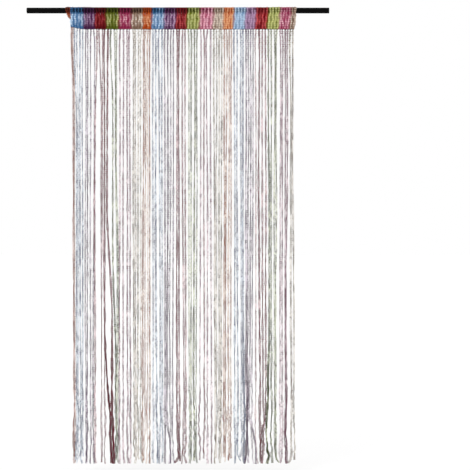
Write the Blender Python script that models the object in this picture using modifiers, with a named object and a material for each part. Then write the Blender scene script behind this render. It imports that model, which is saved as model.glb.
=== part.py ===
"""String door curtain on a round pole, in metres with +Z up.

The origin is the middle of the pole's axis. The pole runs along X, and the side that faces
the room is -Y. The curtain hangs by a woven sleeve that the pole goes through, and its
strings hang from the sleeve's lower edge. Nothing moves.
"""

import math

import bmesh
import bpy
import numpy as np

# Driving dimensions
POLE_LENGTH = 1.325
POLE_RADIUS = 0.0125
POLE_SIDES = 32
POLE_BEVEL = 0.0008
HEADER_LEFT = -0.4695
HEADER_DEPTH = 0.077
LEAN_IN = 0.0085
POCKET_RADIUS = 0.0130
POCKET_DEPTH = 0.073
VALLEY_WALL = 0.0011
RIB_WALL = 0.0018
STRING_END = -1.986
GAP = 0.0004

# The header's bands from the left, as (colour, width, strings)
BANDS = (
    ("blue", 0.055, 4),
    ("purple", 0.051, 4),
    ("red", 0.050, 4),
    ("green", 0.055, 4),
    ("pink", 0.056, 4),
    ("beige", 0.051, 4),
    ("orange", 0.037, 4),
    ("blue", 0.055, 4),
    ("purple", 0.051, 4),
    ("red", 0.051, 4),
    ("green", 0.054, 4),
    ("pink", 0.060, 4),
    ("beige", 0.047, 4),
    ("orange", 0.042, 4),
    ("blue", 0.054, 4),
    ("purple", 0.042, 4),
    ("red", 0.056, 4),
    ("green", 0.051, 4),
    ("pink", 0.047, 4),
    ("beige", 0.022, 2),
)
HEADER_WIDTH = sum(width for _, width, _ in BANDS)

# Left end of the header: the cut end of an orange band, turned over the pole as a tongue
FLAP_STRINGS = 2
FLAP_WIDTH = 0.0245
FLAP_DEPTH = 0.036
FLAP_ROUND = 0.6
FLAP_TUCK = 0.0010
CORNER_RISE = 0.009
CORNER_REACH = 0.060
RIB_WAVE = 0.0012
RIB_WAVE_RATES = (70.0, 190.0)
FOOT_SCALLOP = 0.0008

# Strings, with the shares of their length over which each kind of bend grows to its full size
STRIP_HEIGHT = 0.005
STRIP_OVERHANG = 0.0008
STRING_WIDTH = 0.005
STRING_DEPTH = 0.0024
ORANGE_ROOTS = (-0.4668, -0.4602)
CROWD = 0.0105
CROWD_REACH = 0.050
LAYER = 0.0026
SWAY = 0.0015
SWAY_GROWS = (0.0, 0.4)
CLUMP = 0.0042
CLUMP_PITCH = 0.118
CLUMP_GROWS = (0.05, 0.9)
CLUMP_SQUARENESS = 8
WAVE = 0.0026
WAVE_GROWS = (0.66, 0.93)
PAIR_STARTS = (-0.35, 0.10)
PAIR_PULLS = (0.05, 0.70)
PAIR_REST = 0.0056
PAIR_GROWS = 0.25
SHORTER = 0.032
SHORTER_RARITY = 6
STRAY_LEAVES_LAYER = 0.10
SEED = 11

# Strings that cross over their neighbours, as
# (string, share where it sets off, share where it settles, how far sideways, layers out from the middle)
STRAYS = (
    (64, 0.875, 0.960, 0.024, -3.0),
    (69, 0.880, 0.925, -0.019, 3.0),
    (35, 0.900, 0.985, 0.018, 3.0),
    (13, 0.700, 1.020, 0.0265, 3.0),
    (14, 0.400, 0.660, 0.023, -3.0),
)

# Strings that don't hang straight under their root, as
# (string, share where it sets off, share where it settles, how far sideways)
DRIFTS = (
    (0, 0.00, 0.16, 0.0090),
    (1, 0.00, 0.16, 0.0065),
    (2, 0.03, 0.25, 0.0080),
    (3, 0.00, 0.20, 0.0065),
    (10, 0.00, 0.25, -0.0080),
    (11, 0.00, 0.20, 0.0100),
    (12, 0.40, 0.60, 0.0050),
    (14, 0.00, 0.20, -0.0065),
    (14, 0.85, 1.05, 0.0100),
    (15, 0.00, 0.20, 0.0085),
    (15, 0.50, 0.80, 0.0140),
    (16, 0.00, 0.20, 0.0040),
    (16, 0.25, 0.60, 0.0090),
    (17, 0.25, 0.60, 0.0120),
    (67, 0.30, 0.70, 0.0045),
    (70, 0.72, 0.85, -0.0060),
    (77, 0.30, 0.60, -0.0065),
    (78, 0.20, 0.70, 0.0040),
    (79, 0.20, 0.70, 0.0070),
)

# Shares of a string's length where its route has a point, closer together near the end
STRING_LEVELS = (
    0.0, 0.08, 0.20, 0.33, 0.46, 0.58, 0.67, 0.735, 0.785, 0.83, 0.865, 0.90, 0.93, 0.955, 0.98, 1.0
)

# Shares of the header's depth below the axis, then angles up over the pole, in degrees
HEADER_SHARES = (1.0, 0.475, 0.24, 0.0)
HEADER_ANGLES = (28.0, 56.0, 82.0)


def smooth(low, high, value):
    """Nought below low, one above high, and a soft step between."""
    share = np.clip((value - low) / (high - low), 0.0, 1.0)
    return share * share * (3.0 - 2.0 * share)


def string_tops():
    """Where each string leaves the top of the header, from the left, without the orange pair."""
    tops = []
    left = HEADER_LEFT
    for _, width, count in BANDS:
        tops += [left + width * (number + 0.5) / count for number in range(count)]
        left += width
    return np.array(tops)


def leaned(x):
    """The header draws in towards its left edge by LEAN_IN at the foot of its right edge."""
    return x - LEAN_IN * (x - HEADER_LEFT) / HEADER_WIDTH


def header_foot(x):
    """Height of the header's lower edge, whose left corner is lifted."""
    lift = CORNER_RISE * (1.0 - smooth(0.0, CORNER_REACH, x - HEADER_LEFT))
    return lift - HEADER_DEPTH


def string_roots():
    """Sideways place of each string at the header's foot: the orange pair, then the rest."""
    tops = string_tops()
    crowded = leaned(tops) + CROWD * np.exp(-(tops - HEADER_LEFT) / CROWD_REACH)
    return np.concatenate([ORANGE_ROOTS, crowded])


def string_routes(shares):
    """Sideways and fore-and-aft places and heights of every string at the shares of its length.

    A string sways slowly all the way down, drifts with its neighbours into loose clumps, is
    drawn to the string beside it, and waves more near its end. Some end up beside their place.
    Odd and even strings hang in two layers, and the few that stray hang outside both, so that
    no two touch.
    """
    roots = string_roots()
    count = len(roots)
    draw = np.random.RandomState(SEED)
    sway = draw.uniform(-1.0, 1.0, (count, 1))
    sway_turns = draw.uniform(0.5, 1.1, (count, 1))
    sway_phase = draw.uniform(0.0, 1.0, (count, 1))
    wave = draw.uniform(0.2, 1.0, (count, 1))
    wave_turns = draw.uniform(5.0, 8.0, (count, 1))
    wave_phase = draw.uniform(0.0, 1.0, (count, 1))
    pair_start = np.repeat(draw.uniform(*PAIR_STARTS, (count // 2, 1)), 2, axis=0)
    pair_pull = np.repeat(draw.uniform(*PAIR_PULLS, (count // 2, 1)), 2, axis=0)
    shorter = draw.uniform(0.0, 1.0, (count, 1)) ** SHORTER_RARITY

    shares = np.asarray(shares)[None, :]
    partner = np.arange(count) ^ 1
    apart = (roots[partner] - roots)[:, None]
    pull = pair_pull * smooth(pair_start, pair_start + PAIR_GROWS, shares)
    together = np.sign(apart) * np.maximum(np.abs(apart) / 2.0 - PAIR_REST / 2.0, 0.0) * pull
    swaying = SWAY * sway * smooth(*SWAY_GROWS, shares)
    swaying = swaying * np.sin(2.0 * np.pi * (sway_turns * shares + sway_phase))
    waving = WAVE * wave * smooth(*WAVE_GROWS, shares)
    waving = waving * np.sin(2.0 * np.pi * (wave_turns * shares + wave_phase))
    middle = (roots[0] + roots[-1]) / 2.0
    inside = 1.0 - (2.0 * (roots - middle) / (roots[-1] - roots[0])) ** CLUMP_SQUARENESS
    clumping = CLUMP * np.sin(2.0 * np.pi * roots / CLUMP_PITCH) * inside
    clumping = clumping[:, None] * smooth(*CLUMP_GROWS, shares)
    side = roots[:, None] + together + swaying + waving + clumping
    for number, leaves, settles, across in DRIFTS:
        side[number] += across * smooth(leaves, settles, shares[0])

    layer = np.where(np.arange(count) % 2, 1.0, -1.0)[:, None]
    aft = LAYER * layer * smooth(0.0, 0.06, shares)
    for number, leaves, settles, across, out in STRAYS:
        side[number] += across * smooth(leaves, settles, shares[0])
        freed = smooth(leaves - STRAY_LEAVES_LAYER, leaves, shares[0])
        aft[number] += (LAYER * out - aft[number]) * freed

    top = (header_foot(roots) - GAP - STRIP_HEIGHT)[:, None]
    end = STRING_END + SHORTER * shorter
    height = top + (end - top) * shares
    return side, aft, height


def clear_scene():
    for thing in list(bpy.data.objects):
        bpy.data.objects.remove(thing, do_unlink=True)


def new_collection(name):
    made = bpy.data.collections.new(name)
    bpy.context.scene.collection.children.link(made)
    return made


def new_material(name, colour, roughness, metallic=0.0):
    made = bpy.data.materials.new(name)
    made.use_nodes = True
    shader = made.node_tree.nodes["Principled BSDF"]
    shader.inputs["Base Color"].default_value = (*colour, 1.0)
    shader.inputs["Roughness"].default_value = roughness
    shader.inputs["Metallic"].default_value = metallic
    return made


def object_from(name, shape, home, material=None):
    mesh = bpy.data.meshes.new(name)
    shape.to_mesh(mesh)
    shape.free()
    made = bpy.data.objects.new(name, mesh)
    home.objects.link(made)
    if material:
        mesh.materials.append(material)
    return made


def face_outward(shape):
    """Turns every face outward: all one way first, and then over if the volume comes out negative."""
    bmesh.ops.recalc_face_normals(shape, faces=shape.faces[:])
    if shape.calc_volume(signed=True) < 0.0:
        bmesh.ops.reverse_faces(shape, faces=shape.faces[:])


def make_pole(home):
    bpy.ops.mesh.primitive_cylinder_add(
        vertices=POLE_SIDES, radius=POLE_RADIUS, depth=POLE_LENGTH, rotation=(0.0, math.pi / 2, 0.0)
    )
    pole = bpy.context.object
    pole.name = "rod"
    pole.data.name = "rod"
    for holder in list(pole.users_collection):
        holder.objects.unlink(pole)
    home.objects.link(pole)
    pole.data.materials.append(new_material("satin black", (0.012, 0.012, 0.013), 0.4, 0.3))
    bevel = pole.modifiers.new("edge", "BEVEL")
    bevel.width = POLE_BEVEL
    bevel.segments = 2
    bevel.limit_method = "ANGLE"
    bevel.angle_limit = math.radians(60.0)
    pole.data.shade_smooth()
    pole.data.set_sharp_from_angle(angle=math.radians(40.0))
    return pole


def header_columns():
    """Sideways place of each column of points at the header's top, and 1 on a rib or 0 between."""
    tops = string_tops()
    flap_left = HEADER_LEFT - FLAP_WIDTH
    flap = flap_left + FLAP_WIDTH * (np.arange(FLAP_STRINGS) + 0.5) / FLAP_STRINGS
    ribs = np.concatenate([flap, tops])
    right = HEADER_LEFT + HEADER_WIDTH
    between = np.concatenate([[flap_left], (ribs[1:] + ribs[:-1]) / 2.0, [right]])
    between[FLAP_STRINGS] = HEADER_LEFT
    places = np.empty(len(ribs) + len(between))
    places[0::2] = between
    places[1::2] = ribs
    on_rib = np.arange(len(places)) % 2
    return places, on_rib


def header_point(x, rib, row, side):
    """A point of the header's skin: straight sides below the axis, an arc above it."""
    wall = RIB_WALL if rib else VALLEY_WALL
    if row >= len(HEADER_SHARES):
        angle = math.radians(HEADER_ANGLES[row - len(HEADER_SHARES)])
        out = POCKET_RADIUS + wall
        return x, side * out * math.cos(angle), out * math.sin(angle)
    share = HEADER_SHARES[row]
    foot = float(header_foot(max(x, HEADER_LEFT)))
    height = share * foot
    if x < HEADER_LEFT:
        shown = max(1.0 + height / FLAP_DEPTH, 0.0) ** FLAP_ROUND
        stays = FLAP_TUCK * (HEADER_LEFT - x) / FLAP_WIDTH
        x = HEADER_LEFT - stays - (HEADER_LEFT - x - stays) * shown
    else:
        wave = math.sin(RIB_WAVE_RATES[0] * x) + math.sin(RIB_WAVE_RATES[1] * x)
        x += (float(leaned(x)) - x) * share + RIB_WAVE * wave * share * (1.0 - share)
    if share == 1.0 and not rib:
        height += FOOT_SCALLOP
    inner = POCKET_RADIUS * max(1.0 + height / POCKET_DEPTH, 0.0)
    return x, side * (inner + wall), height


def make_pocket_cutter(home):
    """A long bar of the pocket's section: round above the axis, drawn to an edge below it."""
    shape = bmesh.new()
    bmesh.ops.create_cone(
        shape,
        cap_ends=True,
        segments=POLE_SIDES,
        radius1=POCKET_RADIUS,
        radius2=POCKET_RADIUS,
        depth=HEADER_WIDTH + 4.0 * FLAP_WIDTH,
    )
    middle = HEADER_LEFT + HEADER_WIDTH / 2.0
    for vert in shape.verts:
        y, z, x = vert.co
        if z < -1e-6:
            # The lower half circle is drawn out to straight sides that meet at the pocket's foot.
            z = -POCKET_DEPTH * (1.0 - abs(y) / POCKET_RADIUS)
        vert.co = (x + middle, y, z)
    face_outward(shape)
    cutter = object_from("pocket_cutter", shape, home)
    cutter.hide_render = True
    cutter.display_type = "WIRE"
    return cutter


def make_header(home, cutters):
    places, on_rib = header_columns()
    columns = len(places) - 1
    rows = len(HEADER_SHARES) + len(HEADER_ANGLES) - 1
    shape = bmesh.new()
    bmesh.ops.create_grid(shape, x_segments=columns, y_segments=rows, size=0.5)
    grown = bmesh.ops.extrude_face_region(shape, geom=shape.faces[:])
    back = {item for item in grown["geom"] if isinstance(item, bmesh.types.BMVert)}
    for vert in shape.verts:
        column = round((vert.co.x + 0.5) * columns)
        row = round((vert.co.y + 0.5) * rows)
        side = 1.0 if vert in back else -1.0
        vert.co = header_point(float(places[column]), on_rib[column], row, side)
    face_outward(shape)
    cloth = new_material("woven header", (0.32, 0.16, 0.22), 0.7)
    header = object_from("header", shape, home, cloth)
    pocket = header.modifiers.new("pocket", "BOOLEAN")
    pocket.operation = "DIFFERENCE"
    pocket.solver = "EXACT"
    pocket.object = make_pocket_cutter(cutters)
    return header


def make_strings(home):
    """A strip under the header, and the strings drawn down from faces of its underside."""
    roots = string_roots()
    half = STRING_WIDTH / 2.0
    edges = np.empty(2 * len(roots) + 2)
    edges[1:-1:2] = roots - half
    edges[2:-1:2] = roots + half
    edges[0] = edges[1] - STRIP_OVERHANG
    edges[-1] = edges[-2] + STRIP_OVERHANG
    cells = len(edges) - 1

    shape = bmesh.new()
    string_of = shape.faces.layers.int.new("string")
    bmesh.ops.create_grid(shape, x_segments=cells, y_segments=1, size=0.5)
    grown = bmesh.ops.extrude_face_region(shape, geom=shape.faces[:])
    under = {item for item in grown["geom"] if isinstance(item, bmesh.types.BMVert)}
    lower = [item for item in grown["geom"] if isinstance(item, bmesh.types.BMFace)]
    for face in lower:
        cell = int((face.calc_center_median().x + 0.5) * cells)
        face[string_of] = (cell + 1) // 2 if cell % 2 else 0
    for vert in shape.verts:
        x = float(edges[round((vert.co.x + 0.5) * cells)])
        top = float(header_foot(max(x, HEADER_LEFT))) - GAP
        drop = STRIP_HEIGHT if vert in under else 0.0
        vert.co = (x, math.copysign(VALLEY_WALL, vert.co.y), top - drop)

    side, aft, height = string_routes(STRING_LEVELS)
    ends = [face for face in lower if face[string_of]]
    for level in range(1, len(STRING_LEVELS)):
        ends = bmesh.ops.extrude_discrete_faces(shape, faces=ends)["faces"]
        for face in ends:
            number = face[string_of] - 1
            centre = face.calc_center_median()
            for vert in face.verts:
                vert.co = (
                    side[number, level] + math.copysign(half, vert.co.x - centre.x),
                    aft[number, level] + math.copysign(STRING_DEPTH / 2.0, vert.co.y - centre.y),
                    height[number, level],
                )
    face_outward(shape)
    yarn = new_material("tinsel yarn", (0.20, 0.16, 0.17), 0.5)
    return object_from("strings", shape, home, yarn)


def main():
    clear_scene()
    parts = new_collection("string curtain on pole")
    cutters = new_collection("cutters")
    make_pole(parts)
    make_header(parts, cutters)
    make_strings(parts)


main()
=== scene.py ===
# %% [markdown]
# # A string door curtain on its pole
#
# The object is a door curtain of eighty hanging strings. Each string is a glittering chain yarn,
# and all of them grow out of one knitted sleeve, dyed in bands, that a black pole goes through.
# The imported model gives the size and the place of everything. This lesson knits the looks round
# it: first the camera and the light, then the routes of the strings, the chain yarn itself, the
# sleeve, and last the paint on the pole.

import bpy
import numpy as np
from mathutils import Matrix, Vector


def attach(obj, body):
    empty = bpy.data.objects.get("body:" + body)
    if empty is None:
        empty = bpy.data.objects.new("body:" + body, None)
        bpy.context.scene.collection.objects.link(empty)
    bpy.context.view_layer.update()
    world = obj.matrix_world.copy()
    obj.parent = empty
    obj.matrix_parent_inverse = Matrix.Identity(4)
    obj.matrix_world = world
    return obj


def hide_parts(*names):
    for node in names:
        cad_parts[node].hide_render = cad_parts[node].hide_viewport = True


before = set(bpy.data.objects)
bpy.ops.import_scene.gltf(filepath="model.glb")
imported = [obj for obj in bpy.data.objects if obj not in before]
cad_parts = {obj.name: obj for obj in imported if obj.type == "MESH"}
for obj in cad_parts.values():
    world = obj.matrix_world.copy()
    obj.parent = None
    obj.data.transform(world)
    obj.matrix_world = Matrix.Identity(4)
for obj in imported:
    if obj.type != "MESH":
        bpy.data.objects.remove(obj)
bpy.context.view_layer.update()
print("CAD nodes:", sorted(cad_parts))

# %% [markdown]
# ## The camera
#
# The product picture was taken square on, from far enough away that the strings on the left and
# on the right look the same. A long lens gives that. One pixel of the picture is 4.38 mm at the
# curtain, and the middle of the pole lies at a known pixel, so the camera's place follows from
# two subtractions and its distance from the width of the field.

# %% Camera
FRAME_PIXELS = 470
METRES_A_PIXEL = 0.004384
POLE_PIXEL = (178.0, 10.55)
LENS_MM = 100.0
SENSOR_MM = 36.0

field = FRAME_PIXELS * METRES_A_PIXEL
distance = field * LENS_MM / SENSOR_MM
lens = bpy.data.cameras.new("camera")
lens.lens = LENS_MM
lens.sensor_width = SENSOR_MM
camera = bpy.data.objects.new("camera", lens)
camera.location = (
    (FRAME_PIXELS / 2 - POLE_PIXEL[0]) * METRES_A_PIXEL,
    -distance,
    (POLE_PIXEL[1] - FRAME_PIXELS / 2) * METRES_A_PIXEL,
)
camera.rotation_euler = (np.pi / 2, 0.0, 0.0)
bpy.context.scene.collection.objects.link(camera)
bpy.context.scene.camera = camera
print("field", round(field, 3), "m seen from", round(distance, 3), "m")

# %% [markdown]
# ## Light and floor
#
# A white room with large soft lights gives the clean picture of a catalogue. The white world is
# the room. The lamps are suns as wide as a window, because a sun lights a two metre curtain
# evenly from top to bottom: the key comes from the front left and above, so that the ribs and
# the foil get a bright side, and a weaker one fills from the right. The floor is a lit table of
# white glass, as studios use: part of its light is its own, so that shadows on it stay faint, and
# its paleness is worked out so that in all it comes out a little brighter than the room, which
# the picture shows as plain white.


# %% Light
def soft_sun(name, azimuth, elevation, strength, width):
    """A wide sun: azimuth is 0 at the camera's side and + to the right, all three angles in degrees.

    Gives back how much of its light falls on the floor: strength * sin(elevation).
    """
    azimuth, elevation = np.radians(azimuth), np.radians(elevation)
    to_sun = Vector(
        (np.sin(azimuth) * np.cos(elevation), -np.cos(azimuth) * np.cos(elevation), np.sin(elevation))
    )
    lamp = bpy.data.lights.new(name, "SUN")
    lamp.energy = strength
    lamp.angle = np.radians(width)
    made = bpy.data.objects.new(name, lamp)
    made.rotation_euler = to_sun.to_track_quat("Z", "Y").to_euler()
    bpy.context.scene.collection.objects.link(made)
    return strength * np.sin(elevation)


KEY_SUN = {"azimuth": -38.0, "elevation": 42.0, "strength": 0.9, "width": 24.0}
FILL_SUN = {"azimuth": 50.0, "elevation": 14.0, "strength": 0.4, "width": 40.0}
room = bpy.data.worlds.new("white room")
room.use_nodes = True
room.node_tree.nodes["Background"].inputs["Color"].default_value = (1.0, 1.0, 1.0, 1.0)
room.node_tree.nodes["Background"].inputs["Strength"].default_value = 1.0
bpy.context.scene.world = room
bpy.context.scene.view_settings.view_transform = "Standard"
falling = soft_sun("key sun", **KEY_SUN) + soft_sun("fill sun", **FILL_SUN)
print("light on the floor, as a multiple of the room's own:", round(1.0 + falling / np.pi, 3))


# %% Floor
def new_finish(name):
    """A new material, and the shader in it."""
    made = bpy.data.materials.new(name)
    made.use_nodes = True
    return made, made.node_tree.nodes["Principled BSDF"]


def lit_finish(name, paleness, glow):
    """A dull white surface that gives off some light, for what isn't part of the object."""
    made, shader = new_finish(name)
    shader.inputs["Base Color"].default_value = (paleness, paleness, paleness, 1.0)
    shader.inputs["Roughness"].default_value = 0.9
    shader.inputs["Specular IOR Level"].default_value = 0.0
    shader.inputs["Emission Color"].default_value = (1.0, 1.0, 1.0, 1.0)
    shader.inputs["Emission Strength"].default_value = glow
    return made


FLOOR_HEIGHT = -2.03
FLOOR_REACH = 60.0
FLOOR_BRIGHTNESS = 1.04
FLOOR_GLOW = 0.62
paleness = float((FLOOR_BRIGHTNESS - FLOOR_GLOW) / (1.0 + falling / np.pi))
corners = [(x * FLOOR_REACH, y * FLOOR_REACH, FLOOR_HEIGHT) for x, y in ((-1, -1), (1, -1), (1, 1), (-1, 1))]
ground = bpy.data.meshes.new("floor")
ground.from_pydata(corners, [], [(0, 1, 2, 3)])
ground.materials.append(lit_finish("lit white floor", paleness, FLOOR_GLOW))
floor = bpy.data.objects.new("floor", ground)
bpy.context.scene.collection.objects.link(floor)
print("floor at", FLOOR_HEIGHT, "m, just under the string ends, paleness", round(paleness, 3))

# %% [markdown]
# ## The bands
#
# The sleeve is knitted with a different dye every few strings, and the row of seven dyes comes
# round almost three times. The table below is the one that the CAD source was made from: the
# dye, the width in metres and how many strings hang from the band. Everything else reads it. An
# eighth dye, rust, is only in the end that is turned over the pole at the left.

# %% The bands
HEADER_LEFT = -0.4695
BANDS = (
    ("blue", 0.055, 4),
    ("purple", 0.051, 4),
    ("red", 0.050, 4),
    ("green", 0.055, 4),
    ("pink", 0.056, 4),
    ("beige", 0.051, 4),
    ("orange", 0.037, 4),
    ("blue", 0.055, 4),
    ("purple", 0.051, 4),
    ("red", 0.051, 4),
    ("green", 0.054, 4),
    ("pink", 0.060, 4),
    ("beige", 0.047, 4),
    ("orange", 0.042, 4),
    ("blue", 0.054, 4),
    ("purple", 0.042, 4),
    ("red", 0.056, 4),
    ("green", 0.051, 4),
    ("pink", 0.047, 4),
    ("beige", 0.022, 2),
)
HEADER_WIDTH = sum(width for _, width, _ in BANDS)
COLOURS = ("blue", "purple", "red", "green", "pink", "beige", "orange", "rust")


def string_tops():
    """Where each string leaves the top of its band: at left + width * (number + 1/2) / count."""
    tops = []
    left = HEADER_LEFT
    for _, width, count in BANDS:
        tops += [left + width * (number + 0.5) / count for number in range(count)]
        left += width
    return np.array(tops)


band_dyes = [COLOURS.index(colour) for colour, _, count in BANDS for _ in range(count)]
tops = string_tops()
print(len(BANDS), "bands,", round(HEADER_WIDTH, 3), "m wide, with", len(tops), "strings")

# %% [markdown]
# ## The foot of the sleeve
#
# The sleeve's lower edge is straight, except at the left, where the corner is lifted by the cut
# end of a rust band that is turned over the pole. The two strings of that end hang at the far
# left, and they crowd their neighbours to the right. Two strings took the dye of another band.

# %% The foot of the sleeve
HEADER_DEPTH = 0.077
LEAN_IN = 0.0085
CORNER_RISE = 0.009
CORNER_REACH = 0.060
RUST_ROOTS = (-0.4668, -0.4602)
CROWD = 0.0105
CROWD_REACH = 0.050
HEM_DROP = 0.0046
REDYED = {14: "red", 47: "red"}


def smooth(low, high, value):
    """Nought below low, one above high, and 3 s^2 - 2 s^3 of the share s between."""
    share = np.clip((value - low) / (high - low), 0.0, 1.0)
    return share * share * (3.0 - 2.0 * share)


def leaned(x):
    """x at the foot: the right edge leans in by LEAN_IN, the left edge not at all."""
    return x - LEAN_IN * (x - HEADER_LEFT) / HEADER_WIDTH


def header_foot(x):
    """Height of the lower edge, lifted at the left corner."""
    return CORNER_RISE * (1.0 - smooth(0.0, CORNER_REACH, x - HEADER_LEFT)) - HEADER_DEPTH


def hem_foot(x):
    """Where the ribs end, in the strip where the strings are rooted."""
    return header_foot(x) - HEM_DROP


def string_roots():
    """Sideways place of every string at the foot: the rust pair, then the rest, crowded."""
    crowded = leaned(tops) + CROWD * np.exp(-(tops - HEADER_LEFT) / CROWD_REACH)
    return np.concatenate([RUST_ROOTS, crowded])


roots = string_roots()
string_dyes = np.array([COLOURS.index("rust")] * len(RUST_ROOTS) + band_dyes)
for string, colour in REDYED.items():
    string_dyes[string] = COLOURS.index(colour)
print(len(roots), "strings;", {c: int((string_dyes == n).sum()) for n, c in enumerate(COLOURS)})

# %% [markdown]
# ## The routes of the strings
#
# A string hangs almost straight, but not quite. It sways slowly all the way down, drifts with
# its neighbours into loose clumps, is drawn to the string beside it by static, and waves more
# near its end, where no weight pulls it straight. Each of these bends is a sine or a soft step
# of the share of the length, so whole families of strings come out of a few arrays. Some
# strings have swung and never came back to their place: a table lists those that drift, and
# another the strays that cross over others. A row gives the string, the two shares of its length
# between which it moves, and how far it goes to the right, in metres. A stray's row ends with
# the layer that it moves in, counted from the middle to the back. Both tables, and the random
# draws and their order, are those of the CAD source, so each string lies round its own solid.

# %% The routes of the strings
GAP = 0.0004
STRIP_HEIGHT = 0.005
STRING_END = -1.986
LAYER = 0.0026
LAYER_GROWS = (0.0, 0.06)
SWAY = 0.0015
SWAY_GROWS = (0.0, 0.4)
CLUMP = 0.0042
CLUMP_PITCH = 0.118
CLUMP_GROWS = (0.05, 0.9)
CLUMP_SQUARENESS = 8
WAVE = 0.0026
WAVE_GROWS = (0.66, 0.93)
PAIR_STARTS = (-0.35, 0.10)
PAIR_PULLS = (0.05, 0.70)
PAIR_REST = 0.0056
PAIR_GROWS = 0.25
SHORTER = 0.032
SHORTER_RARITY = 6
STRAY_LEAVES_LAYER = 0.10
SEED = 11
STRAYS = (
    (64, 0.875, 0.960, 0.024, -3.0),
    (69, 0.880, 0.925, -0.019, 3.0),
    (35, 0.900, 0.985, 0.018, 3.0),
    (13, 0.700, 1.020, 0.0265, 3.0),
    (14, 0.400, 0.660, 0.023, -3.0),
)
DRIFTS = (
    (0, 0.00, 0.16, 0.0090),
    (1, 0.00, 0.16, 0.0065),
    (2, 0.03, 0.25, 0.0080),
    (3, 0.00, 0.20, 0.0065),
    (10, 0.00, 0.25, -0.0080),
    (11, 0.00, 0.20, 0.0100),
    (12, 0.40, 0.60, 0.0050),
    (14, 0.00, 0.20, -0.0065),
    (14, 0.85, 1.05, 0.0100),
    (15, 0.00, 0.20, 0.0085),
    (15, 0.50, 0.80, 0.0140),
    (16, 0.00, 0.20, 0.0040),
    (16, 0.25, 0.60, 0.0090),
    (17, 0.25, 0.60, 0.0120),
    (67, 0.30, 0.70, 0.0045),
    (70, 0.72, 0.85, -0.0060),
    (77, 0.30, 0.60, -0.0065),
    (78, 0.20, 0.70, 0.0040),
    (79, 0.20, 0.70, 0.0070),
)


def string_routes(shares):
    """Sideways and fore-and-aft places and heights of every string at the shares of its length.

    side = root + pull to the partner + sway sine + wave sine + clump sine; aft = the layer, odd
    or even; height runs evenly from the top to the end. Drifts and strays move by soft steps.
    """
    count = len(roots)
    draw = np.random.RandomState(SEED)
    sway = draw.uniform(-1.0, 1.0, (count, 1))
    sway_turns = draw.uniform(0.5, 1.1, (count, 1))
    sway_phase = draw.uniform(0.0, 1.0, (count, 1))
    wave = draw.uniform(0.2, 1.0, (count, 1))
    wave_turns = draw.uniform(5.0, 8.0, (count, 1))
    wave_phase = draw.uniform(0.0, 1.0, (count, 1))
    pair_start = np.repeat(draw.uniform(*PAIR_STARTS, (count // 2, 1)), 2, axis=0)
    pair_pull = np.repeat(draw.uniform(*PAIR_PULLS, (count // 2, 1)), 2, axis=0)
    shorter = draw.uniform(0.0, 1.0, (count, 1)) ** SHORTER_RARITY

    shares = np.asarray(shares)[None, :]
    partner = np.arange(count) ^ 1
    apart = (roots[partner] - roots)[:, None]
    pull = pair_pull * smooth(pair_start, pair_start + PAIR_GROWS, shares)
    together = np.sign(apart) * np.maximum(np.abs(apart) / 2.0 - PAIR_REST / 2.0, 0.0) * pull
    swaying = SWAY * sway * smooth(*SWAY_GROWS, shares)
    swaying = swaying * np.sin(2.0 * np.pi * (sway_turns * shares + sway_phase))
    waving = WAVE * wave * smooth(*WAVE_GROWS, shares)
    waving = waving * np.sin(2.0 * np.pi * (wave_turns * shares + wave_phase))
    middle = (roots[0] + roots[-1]) / 2.0
    inside = 1.0 - (2.0 * (roots - middle) / (roots[-1] - roots[0])) ** CLUMP_SQUARENESS
    clumping = CLUMP * np.sin(2.0 * np.pi * roots / CLUMP_PITCH) * inside
    clumping = clumping[:, None] * smooth(*CLUMP_GROWS, shares)
    side = roots[:, None] + together + swaying + waving + clumping
    for number, leaves, settles, across in DRIFTS:
        side[number] += across * smooth(leaves, settles, shares[0])

    layer = np.where(np.arange(count) % 2, 1.0, -1.0)[:, None]
    aft = LAYER * layer * smooth(*LAYER_GROWS, shares)
    for number, leaves, settles, across, out in STRAYS:
        side[number] += across * smooth(leaves, settles, shares[0])
        freed = smooth(leaves - STRAY_LEAVES_LAYER, leaves, shares[0])
        aft[number] += (LAYER * out - aft[number]) * freed

    top = (header_foot(roots) - GAP - STRIP_HEIGHT)[:, None]
    end = STRING_END + SHORTER * shorter
    height = top + (end - top) * shares
    return side, aft, height


# %% [markdown]
# ## Crimp, gathers and curled ends
#
# Chain yarn remembers the bobbin. Close up, a string is never a clean line: it hangs a little
# beside its place and is crimped all the way down. Lower, where the strings weigh nothing, they
# catch on each other and gather in tangles, which the table lists from left to right: the middle
# and reach of the tangle, the shares of the length where it begins, holds, opens and ends, and
# how hard it pulls. The last few centimetres curl. The curl is an arc: a tail of length L that
# turns through the angle A lies at L/A (1 - cos A) sideways and L/A sin A down. The angles are
# drawn at random, in radians, but eight strings have their own hook.

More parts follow.
